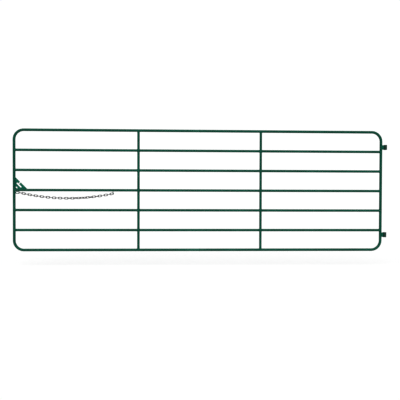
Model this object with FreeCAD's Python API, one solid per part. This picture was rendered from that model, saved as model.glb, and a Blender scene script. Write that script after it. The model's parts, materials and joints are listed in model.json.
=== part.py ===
import FreeCAD, Part
import math
import os

from FreeCAD import Rotation, Vector

# A welded tube gate for a livestock yard. It hangs on two upright post pins and is
# kept shut by a chain, which is carried on the gate under its middle rail.
# Millimetres. The origin is the centre of the lower hinge bore, +Z is up along the
# hinge line, the leaf reaches along -X, and -Y is the front face.

# ---- driving dimensions ----------------------------------------------------------
OVERALL_LENGTH = 3658.0      # hinge barrel's outer face to latch upright's outer face
RAIL_COUNT = 7               # top and bottom of the frame included
RAIL_PITCH = 193.6           # between rail centrelines
BAY_COUNT = 3                # bays between the uprights, divided by the stays

FRAME_OD = 25.4              # outer tube, bent round the corners
FRAME_WALL = 1.6
CORNER_RADIUS = 92.0         # on the tube's centreline
SPIGOT_LENGTH = 60.0         # necked end of one bow, inside the other
SPIGOT_CLEARANCE = 0.1       # all round

RAIL_OD = 24.0
RAIL_WALL = 1.5
STAY_OD = 23.8               # a shade under the rails, so that its saddles keep an edge
STAY_WALL = 1.5

HINGE_OFFSET = 45.0          # hinge centres to the nearest inner rail's centreline
BARREL_OD = 33.4
BARREL_BORE = 20.0           # runs on a 3/4 inch post pin
BARREL_LENGTH = 48.0
TAB_REACH = 13.6             # upright's face to barrel's face
TAB_HEIGHT = 44.0
TAB_THICKNESS = 6.0

PLATE_LEG = 135.6            # latch plate's corner to its sloping edge, on each tube
PLATE_THICKNESS = 5.0
CATCH_CENTRE = 47.0          # catch slot's middle, from both tube centrelines
CATCH_LENGTH = 49.0          # between the slot's end centres
CATCH_WIDTH = 13.0
MOUTH_WIDTH = 8.5            # slit from the sloping edge into the catch slot
MOUTH_OFFSET = 11.5          # slit's axis to the catch slot's middle
TIE_SLOT_CENTRE = 24.0
TIE_SLOT_LENGTH = 10.0       # between the slot's end centres
TIE_SLOT_WIDTH = 10.0

LINK_COUNT = 31              # free links; one more is welded to the upright
LINK_WIRE = 6.8
LINK_PITCH = 29.5            # inside length of one link
LINK_INNER_WIDTH = 10.6
LINK_CLEARANCE = 0.1         # left between two links where they bear
ANCHOR_BITE = 1.0            # how far the welded link is let into the upright
ANCHOR_DROP = 24.9           # middle rail's centreline to the welded link's axis
ANCHOR_SLACK = 0.8           # play that lets the first free link tilt in the welded one
CHAIN_SAG = 54.0             # lowest link axis below the welded link's axis
CHAIN_FALL = 7.0             # far end below the welded link's axis
TWIST = 90.0                 # the chain's turn about its own axis
TWIST_START = 0.46           # shares of the chain's length
TWIST_END = 0.88

HOOK_BAR = 6.5               # round bar that holds the chain's far end
HOOK_TIP_ANGLE = 50.0        # how far the hook's tip turns up past its lowest point

# ---- places worked out from them -------------------------------------------------
FRAME_R = FRAME_OD / 2.0
RAIL_R = RAIL_OD / 2.0
STAY_R = STAY_OD / 2.0
BARREL_R = BARREL_OD / 2.0

HINGE_X = -(BARREL_R + TAB_REACH + FRAME_R)
LATCH_X = BARREL_R - OVERALL_LENGTH + FRAME_R
SEAM_X = (HINGE_X + LATCH_X) / 2.0
BAY = (HINGE_X - LATCH_X) / BAY_COUNT

BOTTOM_Z = HINGE_OFFSET - RAIL_PITCH
TOP_Z = BOTTOM_Z + (RAIL_COUNT - 1) * RAIL_PITCH
UPPER_HINGE_Z = TOP_Z - RAIL_PITCH + HINGE_OFFSET
MIDDLE_Z = (BOTTOM_Z + TOP_Z) / 2.0

SWING_Z = MIDDLE_Z - ANCHOR_DROP     # the level line that the chain swings about
ANCHOR_X = LATCH_X + FRAME_R - ANCHOR_BITE + LINK_WIRE + LINK_PITCH / 2.0

ALONG_X = Vector(1, 0, 0)
ALONG_Y = Vector(0, 1, 0)
ALONG_Z = Vector(0, 0, 1)


# ---- building blocks -------------------------------------------------------------
def rod(start, end, radius):
    """A round bar from start to end."""
    return Part.makeCylinder(radius, (end - start).Length, start, end - start)


def bend(centre, axis, spoke, radius, angle):
    """A round bar bent about centre, starting at the end of spoke."""
    start = centre + spoke
    disc = Part.Face(Part.Wire(Part.makeCircle(radius, start, axis.cross(spoke))))
    return disc.revolve(centre, axis, angle)


def joined(pieces):
    """One solid from pieces that meet face to face."""
    return pieces[0].fuse(pieces[1:]).Solids[0]


def slot(centre, run, length, width, depth):
    """A cutter for a round-ended slot through a plate that lies in the XZ plane."""
    half_run = run.normalize() * (length / 2.0)
    lift = ALONG_Y * (-depth / 2.0)
    ends = [centre - half_run + lift, centre + half_run + lift]
    pins = [rod(end, end + ALONG_Y * depth, width / 2.0) for end in ends]
    side = ALONG_Y.cross(half_run).normalize() * (width / 2.0)
    corners = [ends[0] - side, ends[1] - side, ends[1] + side, ends[0] + side]
    middle = Part.Face(Part.makePolygon(corners + corners[:1])).extrude(ALONG_Y * depth)
    return middle.fuse(pins)


def save(name, shape):
    solid = shape.Solids[0]
    if len(shape.Solids) != 1 or not solid.isValid():
        raise ValueError("bad shape for " + name)
    solid.exportStep("parts/" + name + ".step")


# ---- outer frame: two bent bows that meet at the middle of the top and bottom ----
def bow_core(end_x, radius):
    """A solid bow of the given radius, from the seam round one end of the gate."""
    inward = 1.0 if end_x < SEAM_X else -1.0
    corner_x = end_x + inward * CORNER_RADIUS
    low = BOTTOM_Z + CORNER_RADIUS
    high = TOP_Z - CORNER_RADIUS
    axis = ALONG_Y * inward
    return joined([
        rod(Vector(SEAM_X, 0, BOTTOM_Z), Vector(corner_x, 0, BOTTOM_Z), radius),
        bend(Vector(corner_x, 0, low), axis, Vector(0, 0, -CORNER_RADIUS), radius, 90),
        rod(Vector(end_x, 0, low), Vector(end_x, 0, high), radius),
        bend(Vector(corner_x, 0, high), axis, Vector(-inward * CORNER_RADIUS, 0, 0), radius, 90),
        rod(Vector(corner_x, 0, TOP_Z), Vector(SEAM_X, 0, TOP_Z), radius),
    ])


def bow(end_x):
    return bow_core(end_x, FRAME_R).cut(bow_core(end_x, FRAME_R - FRAME_WALL))


def with_spigots(tube):
    """Adds the necked ends that slide into the other bow."""
    outer = FRAME_R - FRAME_WALL - SPIGOT_CLEARANCE
    inner = outer - FRAME_WALL
    for z in (BOTTOM_Z, TOP_Z):
        mouth = Vector(SEAM_X, 0, z)
        root = mouth + ALONG_X * (2 * FRAME_WALL)
        tip = mouth - ALONG_X * SPIGOT_LENGTH
        collar = rod(mouth, root, FRAME_R - FRAME_WALL / 2.0)
        tube = tube.fuse([rod(tip, root, outer), collar]).cut(rod(tip, root, inner))
    return tube


# ---- inner rails and stays -------------------------------------------------------
def rail_heights():
    return [TOP_Z - row * RAIL_PITCH for row in range(RAIL_COUNT)]


def upright_cores():
    low = Vector(0, 0, BOTTOM_Z)
    high = Vector(0, 0, TOP_Z)
    return [rod(low + ALONG_X * x, high + ALONG_X * x, FRAME_R) for x in (LATCH_X, HINGE_X)]


def rail(z):
    """A rail from upright to upright, its ends cut to saddle round them."""
    start = Vector(LATCH_X, 0, z)
    end = Vector(HINGE_X, 0, z)
    tube = rod(start, end, RAIL_R).cut(rod(start, end, RAIL_R - RAIL_WALL))
    return tube.cut(upright_cores())


def rail_core(row):
    """The outer form of a whole rail, for cutting what is welded against it."""
    edge = row in (0, RAIL_COUNT - 1)
    z = rail_heights()[row]
    return rod(Vector(LATCH_X, 0, z), Vector(HINGE_X, 0, z), FRAME_R if edge else RAIL_R)


def stay(x, row):
    """The stretch of a stay between one rail and the next one down."""
    start = Vector(x, 0, rail_heights()[row])
    end = Vector(x, 0, rail_heights()[row + 1])
    tube = rod(start, end, STAY_R).cut(rod(start, end, STAY_R - STAY_WALL))
    return tube.cut([rail_core(row), rail_core(row + 1)])


# ---- latch plate in the corner above the middle rail -----------------------------
def plate_point(x, z):
    return Vector(LATCH_X + x, 0, MIDDLE_Z + z)


def latch_plate():
    corner = plate_point(0, 0)
    outline = [corner, plate_point(PLATE_LEG, 0), plate_point(0, PLATE_LEG), corner]
    blank = Part.Face(Part.makePolygon(outline)).extrude(ALONG_Y * PLATE_THICKNESS)
    blank.translate(ALONG_Y * (-PLATE_THICKNESS / 2.0))
    down_slope = Vector(1, 0, -1)
    cut_depth = 3 * PLATE_THICKNESS
    catch_centre = plate_point(CATCH_CENTRE, CATCH_CENTRE)
    mouth_inner = catch_centre + Vector(-1, 0, 1).normalize() * MOUTH_OFFSET
    mouth_outer = mouth_inner + Vector(1, 0, 1) * PLATE_LEG / 4.0
    mouth = slot(
        (mouth_inner + mouth_outer) / 2.0,
        mouth_outer - mouth_inner,
        (mouth_outer - mouth_inner).Length,
        MOUTH_WIDTH,
        cut_depth,
    )
    catch = slot(catch_centre, down_slope, CATCH_LENGTH, CATCH_WIDTH, cut_depth)
    tie_centre = plate_point(TIE_SLOT_CENTRE, TIE_SLOT_CENTRE)
    tie = slot(tie_centre, down_slope, TIE_SLOT_LENGTH, TIE_SLOT_WIDTH, cut_depth)
    tubes = [upright_cores()[0], rail_core(RAIL_COUNT // 2)]
    return blank.cut([mouth, catch, tie] + tubes)


# ---- hinges ----------------------------------------------------------------------
def hinge_barrel(z):
    base = Vector(0, 0, z - BARREL_LENGTH / 2.0)
    top = base + ALONG_Z * BARREL_LENGTH
    return rod(base, top, BARREL_R).cut(rod(base, top, BARREL_BORE / 2.0))


def hinge_tab(z):
    """The plate between the upright and a barrel, hollowed to fit both."""
    low_corner = Vector(HINGE_X, -TAB_THICKNESS / 2.0, z - TAB_HEIGHT / 2.0)
    blank = Part.makeBox(-HINGE_X, TAB_THICKNESS, TAB_HEIGHT, low_corner)
    base = Vector(0, 0, z - TAB_HEIGHT)
    return blank.cut([upright_cores()[1], rod(base, base + ALONG_Z * 2 * TAB_HEIGHT, BARREL_R)])


# ---- chain -----------------------------------------------------------------------
def chain_step():
    """The spacing of the links."""
    return LINK_PITCH - LINK_CLEARANCE


def curve_radius(length, rises):
    """The radius at the lowest point of a hanging curve with ends at those rises."""
    low = max(rises)
    high = length ** 2 / min(rises)
    for attempt in range(60):
        radius = (low + high) / 2.0
        if sum(math.sqrt(rise * (rise + 2.0 * radius)) for rise in rises) < length:
            low = radius
        else:
            high = radius
    return radius


def chain_nodes():
    """The points where the links bear on each other, along the hanging curve."""
    rises = (CHAIN_SAG, CHAIN_SAG - CHAIN_FALL)
    radius = curve_radius(LINK_COUNT * chain_step(), rises)
    first_run = -math.sqrt(CHAIN_SAG * (CHAIN_SAG + 2.0 * radius))
    first_x = ANCHOR_X + chain_step() / 2.0 - ANCHOR_SLACK
    lowest_x = first_x - radius * math.asinh(first_run / radius)
    nodes = []
    for index in range(LINK_COUNT + 1):
        run = first_run + index * chain_step()
        rise = math.sqrt(radius ** 2 + run ** 2) - radius
        x = lowest_x + radius * math.asinh(run / radius)
        nodes.append(Vector(x, 0, SWING_Z - CHAIN_SAG + rise))
    return nodes


def link_turn(index):
    """A link's turn about the chain's axis; each is square to the one before it."""
    twisted = (index / (LINK_COUNT - 1.0) - TWIST_START) / (TWIST_END - TWIST_START)
    return 90.0 * ((index + 1) % 2) + TWIST * min(max(twisted, 0.0), 1.0)


def plain_link():
    """A welded round link lying along X in the XZ plane, centred on the origin."""
    wire = LINK_WIRE / 2.0
    bend_radius = (LINK_INNER_WIDTH + LINK_WIRE) / 2.0
    reach = (LINK_PITCH + LINK_WIRE) / 2.0 - bend_radius
    left = Vector(-reach, 0, 0)
    right = Vector(reach, 0, 0)
    up = ALONG_Z * bend_radius
    return joined([
        rod(left + up, right + up, wire),
        bend(right, ALONG_Y, up, wire, 180),
        rod(right - up, left - up, wire),
        bend(left, ALONG_Y, up * -1, wire, 180),
    ])


def chain_link(blank, nodes, index):
    start = nodes[index]
    end = nodes[index + 1]
    lie = Rotation(ALONG_X, end - start)
    turn = Rotation(ALONG_X, link_turn(index))
    link = blank.copy()
    link.Placement = FreeCAD.Placement((start + end) / 2.0, lie.multiply(turn))
    return link


# ---- what holds the chain under the middle rail ----------------------------------
def anchor_link(blank):
    """The level first link, cut to sit against the latch upright."""
    link = blank.copy()
    link.translate(Vector(ANCHOR_X, 0, SWING_Z))
    return link.cut(upright_cores()[0])


def chain_hook(seat):
    """A bar bent under the swing line, open at the front so a link can be dropped on."""
    centre = Vector(seat.x, 0, SWING_Z)
    foot = centre + ALONG_Y * (SWING_Z - seat.z)
    top = Vector(foot.x, foot.y, MIDDLE_Z)
    bar = HOOK_BAR / 2.0
    round_part = bend(centre, ALONG_X * -1, foot - centre, bar, 90.0 + HOOK_TIP_ANGLE)
    return joined([rod(foot, top, bar), round_part]).cut(rail_core(RAIL_COUNT // 2))


# ---- write the parts -------------------------------------------------------------
os.makedirs("parts", exist_ok=True)

save("latch_end_bow", bow(LATCH_X))
save("hinge_end_bow", with_spigots(bow(HINGE_X)))

for row, height in enumerate(rail_heights()[1:-1], start=2):
    save("rail_%d" % row, rail(height))

for line, bays_from_hinge in (("hinge_side", 1), ("latch_side", 2)):
    for row in range(RAIL_COUNT - 1):
        save("%s_stay_%d" % (line, row + 1), stay(HINGE_X - bays_from_hinge * BAY, row))

save("latch_plate", latch_plate())

for place, height in (("upper", UPPER_HINGE_Z), ("lower", 0.0)):
    save(place + "_hinge_barrel", hinge_barrel(height))
    save(place + "_hinge_tab", hinge_tab(height))

hanging_nodes = chain_nodes()
link_blank = plain_link()
save("anchor_link", anchor_link(link_blank))
for index in range(LINK_COUNT):
    save("chain_link_%02d" % (index + 1), chain_link(link_blank, hanging_nodes, index))

last_run = (hanging_nodes[-1] - hanging_nodes[-2]).normalize()
save("chain_hook", chain_hook(hanging_nodes[-1] - last_run * (HOOK_BAR / 2.0 + LINK_CLEARANCE)))
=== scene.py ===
import json
import math
import random

import bmesh
import bpy
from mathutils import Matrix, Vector, noise


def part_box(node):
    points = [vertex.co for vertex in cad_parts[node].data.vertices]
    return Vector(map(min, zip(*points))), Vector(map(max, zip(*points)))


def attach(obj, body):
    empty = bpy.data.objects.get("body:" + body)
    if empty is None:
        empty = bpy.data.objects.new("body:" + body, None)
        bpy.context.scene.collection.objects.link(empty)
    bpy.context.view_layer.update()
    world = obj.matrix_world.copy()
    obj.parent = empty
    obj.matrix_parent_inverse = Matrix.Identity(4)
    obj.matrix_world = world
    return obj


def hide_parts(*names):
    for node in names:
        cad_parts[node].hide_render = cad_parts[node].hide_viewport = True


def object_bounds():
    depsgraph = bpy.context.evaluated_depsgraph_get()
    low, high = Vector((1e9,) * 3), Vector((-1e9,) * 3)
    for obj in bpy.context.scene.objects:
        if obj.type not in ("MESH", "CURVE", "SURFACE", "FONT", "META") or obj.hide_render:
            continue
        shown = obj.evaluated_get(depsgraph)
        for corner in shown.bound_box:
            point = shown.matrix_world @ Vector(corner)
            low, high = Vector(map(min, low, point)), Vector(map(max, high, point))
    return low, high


# The looks of a welded tube gate with a latch chain. Everything is in metres, in the
# frame's own axes: +Z up along the hinge line, the leaf reaching along -X, front -Y.

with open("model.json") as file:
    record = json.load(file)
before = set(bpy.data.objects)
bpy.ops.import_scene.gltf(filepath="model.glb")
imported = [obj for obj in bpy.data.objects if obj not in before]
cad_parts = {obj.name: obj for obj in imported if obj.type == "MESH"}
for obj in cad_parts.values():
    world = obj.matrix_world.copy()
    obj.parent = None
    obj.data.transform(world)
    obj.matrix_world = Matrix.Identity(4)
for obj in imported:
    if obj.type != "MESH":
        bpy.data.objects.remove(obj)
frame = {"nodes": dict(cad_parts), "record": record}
cad_low, cad_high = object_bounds()
random.seed(7)

LEAF = "gate_leaf"
CHAIN = "latch_chain"
ACROSS = Vector((0, 1, 0))       # through the leaf, from front to back
UP = Vector((0, 0, 1))
ALONG = Vector((1, 0, 0))

# ---- sizes that the frame's boxes don't give -------------------------------------
CORNER_RADIUS = 0.092            # frame tube's bends, on the centreline
FRAME_WALL = 0.0016
INNER_WALL = 0.0015              # rails and stays
SPIGOT_LENGTH = 0.060
SPIGOT_GAP = 0.0001
BORE_RADIUS = frame["record"]["mounts"][0]["dims"]["r_mm"] / 1000.0

# ---- places read from the frame --------------------------------------------------
RAILS = ["rail_%d" % number for number in range(2, 7)]
STAY_LINES = ("latch_side", "hinge_side")
STAY_ROWS = range(1, 7)
LINKS = sorted(name for name in frame["nodes"] if name.startswith("chain_link"))


def middle(node):
    low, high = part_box(node)
    return (low + high) / 2.0


def half_size(node):
    low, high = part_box(node)
    return (high - low) / 2.0


FRAME_RADIUS = half_size("latch_end_bow").y
RAIL_RADIUS = half_size("rail_4").y
STAY_RADIUS = half_size("latch_side_stay_3").y
BARREL_RADIUS = half_size("lower_hinge_barrel").y
LATCH_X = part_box("latch_end_bow")[0].x + FRAME_RADIUS
HINGE_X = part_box("hinge_end_bow")[1].x - FRAME_RADIUS
SEAM_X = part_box("latch_end_bow")[1].x
BOTTOM_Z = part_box("latch_end_bow")[0].z + FRAME_RADIUS
TOP_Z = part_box("latch_end_bow")[1].z - FRAME_RADIUS


def rail_heights():
    """Centreline heights of all the level tubes, from the top down."""
    return [TOP_Z] + [middle(name).z for name in RAILS] + [BOTTOM_Z]


def rail_radius(row):
    return FRAME_RADIUS if row in (0, len(RAILS) + 1) else RAIL_RADIUS


# ---- mesh building ---------------------------------------------------------------
def piece(name, points, faces, body=LEAF, sharp=35.0):
    """A smooth-shaded mesh object that rides on a CAD body."""
    mesh = bpy.data.meshes.new(name)
    mesh.from_pydata([tuple(point) for point in points], [], faces)
    build = bmesh.new()
    build.from_mesh(mesh)
    bmesh.ops.recalc_face_normals(build, faces=build.faces)
    build.to_mesh(mesh)
    build.free()
    mesh.shade_smooth()
    mesh.set_sharp_from_angle(angle=math.radians(sharp))
    made = bpy.data.objects.new(name, mesh)
    bpy.context.scene.collection.objects.link(made)
    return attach(made, body)


def ring(centre, side, radius, run=Vector(), host=0.0, count=48):
    """Points round a tube. On a host tube's saddle, each moves along run to meet it."""
    points = []
    for step in range(count):
        turn = 2.0 * math.pi * step / count
        y = radius * math.sin(turn)
        reach = math.sqrt(max(host * host - y * y, 0.0))
        points.append(centre + side * (radius * math.cos(turn)) + ACROSS * y + run * reach)
    return points


def skin(rings, first=0, looped=False):
    """Faces that join neighbouring rings of equal count."""
    count = len(rings[0])
    faces = []
    for here in range(len(rings) if looped else len(rings) - 1):
        there = (here + 1) % len(rings)
        for step in range(count):
            after = (step + 1) % count
            faces.append((
                first + here * count + step,
                first + here * count + after,
                first + there * count + after,
                first + there * count + step,
            ))
    return faces


def closed_tube(name, outer_rings, inner_rings):
    """A pipe with an outside, a bore and flat or saddled ends."""
    rings = outer_rings + inner_rings[::-1]
    points = [point for loop in rings for point in loop]
    return piece(name, points, skin(rings, looped=True))


def solid_of_rings(rings, first=0):
    """Faces of a solid skinned over rings, with its two ends closed."""
    count = len(rings[0])
    last = first + (len(rings) - 1) * count
    ends = [tuple(range(first, first + count)), tuple(range(last, last + count))]
    return skin(rings, first) + ends


# ---- tubes -----------------------------------------------------------------------
STATION_GAP = 0.25               # between rings on a long straight tube
SADDLE_CLEAR = 1.5               # plain rings start this many host radii from its axis


def stations(start, end):
    """Points from start to end, both included."""
    count = max(2, round((end - start).length / STATION_GAP) + 1)
    return [start.lerp(end, step / (count - 1)) for step in range(count)]


def saddled_tube(name, start, end, side, radius, start_host, end_host):
    """A straight tube whose ends are cut round the tubes that it is welded to."""
    run = (end - start).normalized()
    first_plain = start + run * start_host * SADDLE_CLEAR
    last_plain = end - run * end_host * SADDLE_CLEAR
    middle_points = stations(first_plain, last_plain)

    def rings(size):
        first = ring(start, side, size, run, start_host)
        last = ring(end, side, size, run * -1, end_host)
        return [first] + [ring(point, side, size) for point in middle_points] + [last]

    made = closed_tube(name, rings(radius), rings(radius - INNER_WALL))
    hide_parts(name.replace("tube_", ""))
    return made


def make_rails():
    for row, name in enumerate(RAILS, start=1):
        height = rail_heights()[row]
        start = Vector((LATCH_X, 0, height))
        end = Vector((HINGE_X, 0, height))
        yield saddled_tube("tube_" + name, start, end, UP, RAIL_RADIUS, FRAME_RADIUS, FRAME_RADIUS)


def make_stays():
    heights = rail_heights()
    for line in STAY_LINES:
        for row in STAY_ROWS:
            name = "%s_stay_%d" % (line, row)
            x = middle(name).x
            start = Vector((x, 0, heights[row - 1]))
            end = Vector((x, 0, heights[row]))
            hosts = rail_radius(row - 1), rail_radius(row)
            yield saddled_tube("tube_" + name, start, end, ALONG, STAY_RADIUS, *hosts)


BEND_STEPS = 20


def bow_path(end_x):
    """Centres and outward directions from the bottom seam, round one end, to the top."""
    inward = 1.0 if end_x < SEAM_X else -1.0
    corner_x = end_x + inward * CORNER_RADIUS
    low = Vector((corner_x, 0, BOTTOM_Z + CORNER_RADIUS))
    high = Vector((corner_x, 0, TOP_Z - CORNER_RADIUS))
    bottom_seam = Vector((SEAM_X, 0, BOTTOM_Z))
    top_seam = Vector((SEAM_X, 0, TOP_Z))
    path = [(point, -UP) for point in stations(bottom_seam, low - UP * CORNER_RADIUS)[:-1]]
    for step in range(BEND_STEPS + 1):
        turn = math.radians(90.0 * step / BEND_STEPS)
        out = Vector((-inward * math.sin(turn), 0, -math.cos(turn)))
        path.append((low + out * CORNER_RADIUS, out))
    side = ALONG * -inward
    foot = low + side * CORNER_RADIUS
    head = high + side * CORNER_RADIUS
    path += [(point, side) for point in stations(foot, head)[1:-1]]
    for step in range(BEND_STEPS + 1):
        turn = math.radians(90.0 * step / BEND_STEPS)
        out = Vector((-inward * math.cos(turn), 0, math.sin(turn)))
        path.append((high + out * CORNER_RADIUS, out))
    path += [(point, UP) for point in stations(high + UP * CORNER_RADIUS, top_seam)[1:]]
    return path


def make_bow(name, end_x, spigots):
    path = bow_path(end_x)
    outer = [ring(centre, out, FRAME_RADIUS) for centre, out in path]
    inner = [ring(centre, out, FRAME_RADIUS - FRAME_WALL) for centre, out in path]
    if spigots:
        outside = FRAME_RADIUS - FRAME_WALL - SPIGOT_GAP
        reach = ALONG * -SPIGOT_LENGTH
        for index, (centre, out) in ((0, path[0]), (len(path), path[-1])):
            neck = [ring(centre, out, outside), ring(centre + reach, out, outside)]
            bore = [
                ring(centre, out, outside - FRAME_WALL),
                ring(centre + reach, out, outside - FRAME_WALL),
            ]
            if index == 0:
                outer = neck[::-1] + outer
                inner = bore[::-1] + inner
            else:
                outer = outer + neck
                inner = inner + bore
    made = closed_tube("tube_" + name, outer, inner)
    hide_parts(name)
    return made


# ---- welds -----------------------------------------------------------------------
RIPPLE = 0.0024                  # from one weld ripple to the next
BEAD_AROUND = 10
BEAD_STEP = 0.0007
BEAD_FLATNESS = 0.8              # its height over its width
BEAD_PROUD = 0.15                # how far its middle stands off, in radii
RIPPLE_SWELL = 0.11
UNEVEN_SWELL = 0.16
UNEVEN_SCALE = 180.0
DRIFT = 0.0005                   # how far it wanders to either side
DRIFT_SCALE = 90.0


def bead_rings(points, outward, radius, closed):
    """Rings of a rippled bead that follows points and bulges outward."""
    count = len(points)
    gaps = [(points[(i + 1) % count] - points[i]).length for i in range(count)]
    length = sum(gaps if closed else gaps[:-1])
    ripples = max(1, round(length / RIPPLE))
    travelled = 0.0
    rings = []
    for index, (point, out) in enumerate(zip(points, outward)):
        before = points[index - 1] if index or closed else point
        after = points[(index + 1) % count] if index < count - 1 or closed else point
        run = (after - before).normalized()
        side = run.cross(out).normalized()
        share = travelled / length
        swell = 1.0 + RIPPLE_SWELL * math.cos(2.0 * math.pi * ripples * share)
        swell += UNEVEN_SWELL * noise.noise(point * UNEVEN_SCALE)
        if not closed:
            swell *= (1.0 - abs(2.0 * share - 1.0) ** 6) ** 0.5 * 0.9 + 0.1
        drift = side * (DRIFT * noise.noise(point * DRIFT_SCALE + UP))
        centre = point + out * (BEAD_PROUD * radius) + drift
        loop = []
        for step in range(BEAD_AROUND):
            turn = 2.0 * math.pi * step / BEAD_AROUND
            lift = out * (math.cos(turn) * radius * BEAD_FLATNESS * swell)
            loop.append(centre + lift + side * (math.sin(turn) * radius * swell))
        rings.append(loop)
        travelled += gaps[index]
    return rings


def weld_piece(name, beads):
    """One piece from several beads, each (points, outward, radius, closed)."""
    points = []
    faces = []
    for path, outward, radius, closed in beads:
        rings = bead_rings(path, outward, radius, closed)
        if closed:
            faces += skin(rings, len(points), looped=True)
        else:
            faces += solid_of_rings(rings, len(points))
        points += [point for loop in rings for point in loop]
    return piece(name, points, faces, sharp=80.0)


SADDLE_BEAD = 0.0026


def saddle_bead(centre, run, side, radius, host):
    """The closed bead where a tube of that radius stands on a host tube."""
    points = []
    outward = []
    count = round(2.0 * math.pi * radius / BEAD_STEP)
    for step in range(count):
        turn = 2.0 * math.pi * step / count
        own_normal = side * math.cos(turn) + ACROSS * math.sin(turn)
        y = radius * math.sin(turn)
        reach = math.sqrt(host * host - y * y)
        host_normal = (run * reach + ACROSS * y) / host
        points.append(centre + side * (radius * math.cos(turn)) + ACROSS * y + run * reach)
        outward.append((own_normal + host_normal).normalized())
    return points, outward, SADDLE_BEAD, True


def straight_bead(start, end, outward, radius):
    count = max(3, round((end - start).length / BEAD_STEP))
    points = [start.lerp(end, step / (count - 1.0)) for step in range(count)]
    return points, [outward.normalized()] * count, radius, False


def make_tube_welds():
    heights = rail_heights()
    for row, name in enumerate(RAILS, start=1):
        beads = []
        for x, run in ((LATCH_X, ALONG), (HINGE_X, -ALONG)):
            place = Vector((x, 0, heights[row]))
            beads.append(saddle_bead(place, run, UP, RAIL_RADIUS, FRAME_RADIUS))
        yield weld_piece("welds_" + name, beads)
    for line in STAY_LINES:
        for row in STAY_ROWS:
            name = "%s_stay_%d" % (line, row)
            x = middle(name).x
            beads = []
            for end, run in ((row - 1, -UP), (row, UP)):
                place = Vector((x, 0, heights[end]))
                beads.append(saddle_bead(place, run, ALONG, STAY_RADIUS, rail_radius(end)))
            yield weld_piece("welds_" + name, beads)


SEAM_BEAD = 0.0019


def make_seam_welds():
    """The ring welds where the two bows meet."""
    beads = []
    count = round(2.0 * math.pi * FRAME_RADIUS / BEAD_STEP)
    for height in (BOTTOM_Z, TOP_Z):
        centre = Vector((SEAM_X, 0, height))
        outward = []
        for step in range(count):
            turn = 2.0 * math.pi * step / count
            outward.append(UP * math.cos(turn) + ACROSS * math.sin(turn))
        points = [centre + out * FRAME_RADIUS for out in outward]
        beads.append((points, outward, SEAM_BEAD, True))
    yield weld_piece("welds_frame_seam", beads)


def edge_bead(axis_point, axis, toward, host, y, start, end, radius):
    """A bead along a host tube, where a plate's face at y meets it."""
    reach = math.sqrt(host * host - y * y)
    foot = axis_point + toward * reach + ACROSS * y
    host_normal = (toward * reach + ACROSS * y) / host
    outward = ACROSS * math.copysign(1.0, y) + host_normal
    return straight_bead(foot + axis * start, foot + axis * end, outward, radius)


PLATE_BEAD = 0.0024
PLATE_STITCHES = ((0.014, 0.042), (0.056, 0.084), (0.096, 0.119))


def make_plate_welds():
    half = half_size("latch_plate").y
    corner = Vector((LATCH_X, 0, middle("rail_4").z))
    beads = []
    for y in (-half, half):
        for start, end in PLATE_STITCHES:
            beads.append(edge_bead(corner, UP, ALONG, FRAME_RADIUS, y, start, end, PLATE_BEAD))
            beads.append(edge_bead(corner, ALONG, UP, RAIL_RADIUS, y, start, end, PLATE_BEAD))
    yield weld_piece("welds_latch_plate", beads)


TAB_BEAD = 0.0026


def make_hinge_welds():
    for place in ("upper", "lower"):
        low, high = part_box(place + "_hinge_tab")
        half = (high.y - low.y) / 2.0
        centre_z = (low.z + high.z) / 2.0
        reach = (high.z - low.z) / 2.0
        upright = Vector((HINGE_X, 0, centre_z))
        barrel = Vector((0, 0, centre_z))
        beads = []
        for y in (-half, half):
            beads.append(edge_bead(upright, UP, ALONG, FRAME_RADIUS, y, -reach, reach, TAB_BEAD))
            beads.append(edge_bead(barrel, UP, -ALONG, BARREL_RADIUS, y, -reach, reach, TAB_BEAD))
        yield weld_piece("welds_%s_hinge" % place, beads)


ANCHOR_BEAD = 0.0026
ANCHOR_BEAD_REACH = 0.009
ANCHOR_BEAD_ASIDE = 0.8          # from the wire's middle, in wire radii
HOOK_BEAD = 0.0022


def make_chain_holder_welds():
    """The beads where the anchor link meets the upright, and the hook meets the rail."""
    wire = half_size("anchor_link").y
    place = Vector((LATCH_X, 0, middle("anchor_link").z))
    reach = ANCHOR_BEAD_REACH
    beads = []
    for y in (-wire * ANCHOR_BEAD_ASIDE, wire * ANCHOR_BEAD_ASIDE):
        beads.append(edge_bead(place, UP, ALONG, FRAME_RADIUS, y, -reach, reach, ANCHOR_BEAD))
    low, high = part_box("chain_hook")
    bar = (high.x - low.x) / 2.0
    leg = Vector((low.x + bar, high.y - bar, middle("rail_4").z))
    count = round(2.0 * math.pi * bar / BEAD_STEP)
    points = []
    outward = []
    for step in range(count):
        turn = 2.0 * math.pi * step / count
        spoke = ALONG * math.cos(turn) + ACROSS * math.sin(turn)
        y = min(leg.y + bar * math.sin(turn), RAIL_RADIUS)
        drop = math.sqrt(RAIL_RADIUS ** 2 - y ** 2)
        rail_normal = (ACROSS * y - UP * drop) / RAIL_RADIUS
        points.append(leg + spoke * bar - UP * drop)
        outward.append((spoke + rail_normal).normalized())
    beads.append((points, outward, HOOK_BEAD, True))
    yield weld_piece("welds_chain_holders", beads)


# ---- latch plate, tabs and barrels -----------------------------------------------
PLATE_EASE = 0.0007              # how far the edges are rounded over
TAB_EASE = 0.0006
SAME_POINT = 1e-6
FLAT_ANGLE = math.radians(1.0)
EDGE_ANGLE = math.radians(50.0)


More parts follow.
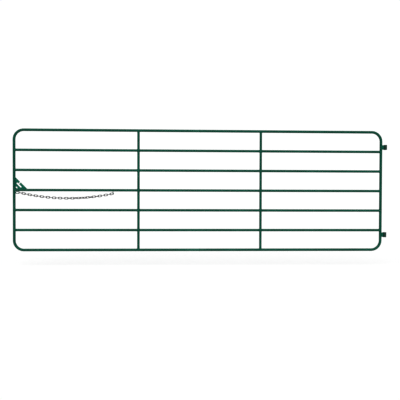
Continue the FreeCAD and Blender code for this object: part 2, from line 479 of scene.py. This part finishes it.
def softened_copy(node, width):
    """A copy of a plate's CAD mesh with its edges rounded over."""
    build = bmesh.new()
    build.from_mesh(frame["nodes"][node].data)
    bmesh.ops.remove_doubles(build, verts=build.verts, dist=SAME_POINT)
    bmesh.ops.dissolve_limit(
        build, angle_limit=FLAT_ANGLE, verts=build.verts, edges=build.edges
    )
    sharp = [edge for edge in build.edges if edge.calc_face_angle(0.0) > EDGE_ANGLE]
    bmesh.ops.bevel(build, geom=sharp, offset=width, segments=3, profile=0.5, affect="EDGES")
    points = [vert.co.copy() for vert in build.verts]
    faces = [[vert.index for vert in face.verts] for face in build.faces]
    build.free()
    made = piece("plate_" + node, points, faces, sharp=40.0)
    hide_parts(node)
    return made


BARREL_CHAMFER = 0.0012
BARREL_AROUND = 64


def make_barrel(place):
    """A short length of heavy pipe with its end edges broken."""
    node = place + "_hinge_barrel"
    low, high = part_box(node)
    ease = BARREL_CHAMFER
    outline = [
        (BARREL_RADIUS, low.z + ease),
        (BARREL_RADIUS, high.z - ease),
        (BARREL_RADIUS - ease * 0.3, high.z - ease * 0.3),
        (BARREL_RADIUS - ease, high.z),
        (BORE_RADIUS + ease, high.z),
        (BORE_RADIUS + ease * 0.3, high.z - ease * 0.3),
        (BORE_RADIUS, high.z - ease),
        (BORE_RADIUS, low.z + ease),
        (BORE_RADIUS + ease * 0.3, low.z + ease * 0.3),
        (BORE_RADIUS + ease, low.z),
        (BARREL_RADIUS - ease, low.z),
        (BARREL_RADIUS - ease * 0.3, low.z + ease * 0.3),
    ]
    rings = []
    for radius, height in outline:
        rings.append(ring(Vector((0, 0, height)), ALONG, radius, count=BARREL_AROUND))
    points = [point for loop in rings for point in loop]
    made = piece("pipe_" + node, points, skin(rings, looped=True))
    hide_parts(node)
    return made


# ---- materials -------------------------------------------------------------------
class Surface:
    """A material with short calls for its nodes."""

    def __init__(self, name):
        self.material = bpy.data.materials.new(name)
        self.material.use_nodes = True
        self.nodes = self.material.node_tree.nodes
        self.links = self.material.node_tree.links
        self.shader = self.nodes["Principled BSDF"]
        self.place = self.nodes.new("ShaderNodeTexCoord").outputs["Object"]

    def set(self, **values):
        for name, value in values.items():
            self.shader.inputs[name.replace("_", " ")].default_value = value

    def feed(self, name, socket):
        self.links.new(socket, self.shader.inputs[name])

    def noise(self, scale, detail=2.0, roughness=0.5):
        node = self.nodes.new("ShaderNodeTexNoise")
        node.inputs["Scale"].default_value = scale
        node.inputs["Detail"].default_value = detail
        node.inputs["Roughness"].default_value = roughness
        self.links.new(self.place, node.inputs["Vector"])
        return node.outputs["Fac"]

    def span(self, value, low, high, to_low=0.0, to_high=1.0):
        """Maps value from low..high to to_low..to_high, smoothly and clamped."""
        node = self.nodes.new("ShaderNodeMapRange")
        node.interpolation_type = "SMOOTHSTEP"
        self.links.new(value, node.inputs["Value"])
        for name, amount in (
            ("From Min", low), ("From Max", high), ("To Min", to_low), ("To Max", to_high)
        ):
            node.inputs[name].default_value = amount
        return node.outputs["Result"]

    def math(self, operation, first, second):
        node = self.nodes.new("ShaderNodeMath")
        node.operation = operation
        for socket, value in zip(node.inputs, (first, second)):
            if isinstance(value, float):
                socket.default_value = value
            else:
                self.links.new(value, socket)
        return node.outputs["Value"]

    def mix(self, share, first, second):
        """A colour between first and second; each is a colour or a socket."""
        node = self.nodes.new("ShaderNodeMix")
        node.data_type = "RGBA"
        self.links.new(share, node.inputs["Factor"])
        for name, value in (("A", first), ("B", second)):
            socket = next(s for s in node.inputs if s.name == name and s.type == "RGBA")
            if isinstance(value, tuple):
                socket.default_value = value + (1.0,)
            else:
                self.links.new(value, socket)
        return next(s for s in node.outputs if s.type == "RGBA")

    def facing_up(self):
        """1 on surfaces that face up, 0 on upright ones and below."""
        normal = self.nodes.new("ShaderNodeNewGeometry").outputs["Normal"]
        split = self.nodes.new("ShaderNodeSeparateXYZ")
        self.links.new(normal, split.inputs[0])
        return self.span(split.outputs["Z"], 0.1, 1.0)

    def hollows(self, reach):
        """1 where other surfaces lie close around, 0 in the open."""
        node = self.nodes.new("ShaderNodeAmbientOcclusion")
        node.samples = 12
        node.inputs["Distance"].default_value = reach
        return self.math("SUBTRACT", 1.0, node.outputs["AO"])

    def crests(self, low, high):
        """1 where the surface is sharply convex."""
        point = self.nodes.new("ShaderNodeNewGeometry").outputs["Pointiness"]
        return self.span(point, low, high)

    def bump(self, height, distance, strength=1.0, under=None):
        node = self.nodes.new("ShaderNodeBump")
        node.inputs["Strength"].default_value = strength
        node.inputs["Distance"].default_value = distance
        self.links.new(height, node.inputs["Height"])
        if under is not None:
            self.links.new(under, node.inputs["Normal"])
        return node.outputs["Normal"]


def enamel(name, deep, light, worn, gloss):
    """Powder coat: orange peel, a little shade variation, dust above, thin on crests."""
    coat = Surface(name)
    shade = coat.span(coat.noise(5.0, 4.0), 0.3, 0.7)
    colour = coat.mix(shade, deep, light)
    thin = coat.math("MULTIPLY", coat.crests(0.53, 0.62), coat.noise(900.0, 3.0))
    colour = coat.mix(thin, colour, worn)
    dust = coat.math("MULTIPLY", coat.facing_up(), coat.span(coat.noise(60.0, 6.0), 0.35, 0.9))
    dust = coat.math("MULTIPLY", dust, 0.04)
    colour = coat.mix(dust, colour, (0.20, 0.22, 0.18))
    coat.feed("Base Color", colour)
    patchy = coat.span(coat.noise(35.0, 5.0), 0.25, 0.75, gloss, gloss + 0.12)
    coat.feed("Roughness", coat.math("ADD", patchy, dust))
    runs = coat.bump(coat.noise(60.0, 1.0), 0.0001, 0.4)
    coat.feed("Normal", coat.bump(coat.noise(420.0, 1.0), 0.00003, 0.5, runs))
    coat.set(Specular_IOR_Level=0.12)
    return coat.material


CHAIN_HOLLOW = 0.014             # how near another link must lie for the painted shade on the zinc


def zinc():
    """Dull zinc plate with cloudy patches, and painted shade, near black, where the links lie
    close together.
    """
    plate = Surface("zinc_plate")
    cloud = plate.span(plate.noise(120.0, 5.0, 0.6), 0.35, 0.7)
    colour = plate.mix(cloud, (0.235, 0.24, 0.235), (0.145, 0.15, 0.147))
    grime = plate.span(plate.noise(420.0, 4.0), 0.55, 0.8, 0.0, 0.5)
    colour = plate.mix(grime, colour, (0.035, 0.038, 0.035))
    # painted shade: the zinc goes near black where other links lie close around
    link_shade = plate.span(plate.hollows(CHAIN_HOLLOW), 0.02, 0.14)
    colour = plate.mix(link_shade, colour, (0.003, 0.0035, 0.003))
    plate.feed("Base Color", colour)
    plate.feed("Roughness", plate.span(cloud, 0.0, 1.0, 0.30, 0.52))
    plate.feed("Normal", plate.bump(plate.noise(800.0, 3.0), 0.00005, 0.6))
    plate.set(Metallic=0.9)
    return plate.material


def paint(thing, material):
    thing.data.materials.clear()
    thing.data.materials.append(material)


# ---- chain -----------------------------------------------------------------------
LINK_WELD_AROUND = 20
LINK_WELD_PROFILE = (            # place along the leg, and radius there
    (-0.0026, 0.0030), (-0.0017, 0.0036), (-0.0008, 0.0039),
    (0.0, 0.0040), (0.0009, 0.0038), (0.0018, 0.0035), (0.0026, 0.0030),
)


def make_chain_welds():
    """The swollen butt weld in one leg of each link."""
    wire = half_size("anchor_link").y
    points = []
    faces = []
    for index, name in enumerate(LINKS):
        centre = middle(name)
        before = middle(LINKS[max(index - 1, 0)])
        after = middle(LINKS[min(index + 1, len(LINKS) - 1)])
        run = (after - before).normalized()
        widest = Vector()
        for vert in frame["nodes"][name].data.vertices:
            offset = vert.co - centre
            offset -= run * offset.dot(run)
            if offset.length > widest.length:
                widest = offset
        leg = centre + widest.normalized() * (widest.length - wire) * random.choice((-1, 1))
        side = widest.normalized()
        third = run.cross(side)
        rings = []
        for along, radius in LINK_WELD_PROFILE:
            loop = []
            for step in range(LINK_WELD_AROUND):
                turn = 2.0 * math.pi * step / LINK_WELD_AROUND
                spoke = side * math.cos(turn) + third * math.sin(turn)
                loop.append(leg + run * along + spoke * radius)
            rings.append(loop)
        faces += solid_of_rings(rings, len(points))
        points += [point for loop in rings for point in loop]
    return piece("chain_link_welds", points, faces, body=CHAIN, sharp=60.0)


# ---- build -----------------------------------------------------------------------
green = enamel(
    "green_enamel",
    deep=(0.0010, 0.060, 0.036), light=(0.0018, 0.080, 0.050), worn=(0.02, 0.15, 0.10), gloss=0.32)
# A lighter copy of the frame's green for the latch plate and tabs: painted light, for the brighter
# front light their flat faces catch.
lit_green = enamel(
    "lit_flat_enamel",
    deep=(0.0010, 0.098, 0.060), light=(0.0018, 0.125, 0.078), worn=(0.02, 0.18, 0.12), gloss=0.30)
# A darker copy of the frame's green for the hinge barrels: painted shade, for upright pipes
# standing in shadow. Its worn colour is bare-metal wear.
shaded_green = enamel(
    "hinge_enamel",
    deep=(0.0060, 0.034, 0.024), light=(0.010, 0.046, 0.032), worn=(0.06, 0.07, 0.06), gloss=0.40)
plated = zinc()

for made in make_rails():
    paint(made, green)
for made in make_stays():
    paint(made, green)
paint(make_bow("latch_end_bow", LATCH_X, spigots=False), green)
paint(make_bow("hinge_end_bow", HINGE_X, spigots=True), green)
WELDERS = (
    make_tube_welds, make_seam_welds, make_plate_welds, make_hinge_welds, make_chain_holder_welds
)
for maker in WELDERS:
    for made in maker():
        paint(made, green)
paint(softened_copy("latch_plate", PLATE_EASE), lit_green)
for place in ("upper", "lower"):
    paint(softened_copy(place + "_hinge_tab", TAB_EASE), lit_green)
    paint(make_barrel(place), shaded_green)
for name in ("anchor_link", "chain_hook"):
    paint(frame["nodes"][name], green)
for name in LINKS:
    paint(frame["nodes"][name], plated)
paint(make_chain_welds(), plated)

# ---- floor, light and camera -----------------------------------------------------
DISPLAY_GAMMA = 0.75             # keeps thin dark tubes dark against white
FLOOR_GAP = 0.14                 # the hung gate's clearance over the ground
FLOOR_SIZE = 60.0
FLOOR_SHADE = 0.22
FLOOR_GLOW = 0.76                # its own light, so that shadows on it stay faint
WHITE = (1.0, 1.0, 1.0, 1.0)
WORLD_LIGHT = 0.3                # as a source of light
WORLD_SEEN = 1.03                # where the camera looks past the gate


def make_floor():
    place = ((cad_low.x + cad_high.x) / 2.0, 0, cad_low.z - FLOOR_GAP)
    bpy.ops.mesh.primitive_plane_add(size=FLOOR_SIZE, location=place)
    floor = bpy.context.object
    floor.name = "floor"
    look = bpy.data.materials.new("pale_floor")
    look.use_nodes = True
    shader = look.node_tree.nodes["Principled BSDF"]
    shader.inputs["Base Color"].default_value = (FLOOR_SHADE, FLOOR_SHADE, FLOOR_SHADE, 1.0)
    shader.inputs["Emission Color"].default_value = WHITE
    shader.inputs["Emission Strength"].default_value = FLOOR_GLOW
    shader.inputs["Roughness"].default_value = 1.0
    shader.inputs["Specular IOR Level"].default_value = 0.0
    floor.data.materials.append(look)


def make_world():
    """White where the camera looks past the gate, dimmer as a source of light."""
    world = bpy.data.worlds.new("studio")
    bpy.context.scene.world = world
    world.use_nodes = True
    nodes = world.node_tree.nodes
    links = world.node_tree.links
    soft = nodes["Background"]
    soft.inputs["Color"].default_value = WHITE
    soft.inputs["Strength"].default_value = WORLD_LIGHT
    white = nodes.new("ShaderNodeBackground")
    white.inputs["Color"].default_value = WHITE
    white.inputs["Strength"].default_value = WORLD_SEEN
    chooser = nodes.new("ShaderNodeMixShader")
    links.new(nodes.new("ShaderNodeLightPath").outputs["Is Camera Ray"], chooser.inputs[0])
    links.new(soft.outputs[0], chooser.inputs[1])
    links.new(white.outputs[0], chooser.inputs[2])
    links.new(chooser.outputs[0], nodes["World Output"].inputs["Surface"])


def make_sun(name, azimuth, elevation, strength, width):
    """A soft sun that shines from azimuth (0 is the front) and elevation, in degrees."""
    data = bpy.data.lights.new(name, "SUN")
    data.energy = strength
    data.angle = math.radians(width)
    lamp = bpy.data.objects.new(name, data)
    bpy.context.scene.collection.objects.link(lamp)
    turn = math.radians(azimuth)
    rise = math.radians(elevation)
    toward = Vector((
        math.sin(turn) * math.cos(rise), -math.cos(turn) * math.cos(rise), math.sin(rise)))
    lamp.rotation_mode = "QUATERNION"
    lamp.rotation_quaternion = toward.to_track_quat("Z", "Y")


LENS = 40.5
CAMERA_DISTANCE = 4.401
CAMERA_ASIDE = -0.165
CAMERA_ABOVE = -0.031
CAMERA_PITCH = -0.80
CAMERA_YAW = -1.87
CAMERA_ROLL = -0.17


def make_camera():
    data = bpy.data.cameras.new("camera")
    data.lens = LENS
    data.sensor_width = 36.0
    camera = bpy.data.objects.new("camera", data)
    bpy.context.scene.collection.objects.link(camera)
    centre = (cad_low + cad_high) / 2.0
    camera.location = centre + Vector((CAMERA_ASIDE, -CAMERA_DISTANCE, CAMERA_ABOVE))
    camera.rotation_mode = "XYZ"
    camera.rotation_euler = (
        math.radians(90.0 + CAMERA_PITCH), math.radians(CAMERA_ROLL), math.radians(CAMERA_YAW))
    bpy.context.scene.camera = camera


make_floor()
make_world()
make_sun("key", -35.0, 55.0, 1.9, 40.0)
make_sun("fill", 40.0, 45.0, 1.2, 60.0)
make_sun("front", 5.0, 18.0, 1.1, 50.0)
make_camera()
bpy.context.scene.view_settings.view_transform = "Standard"
bpy.context.scene.view_settings.gamma = DISPLAY_GAMMA
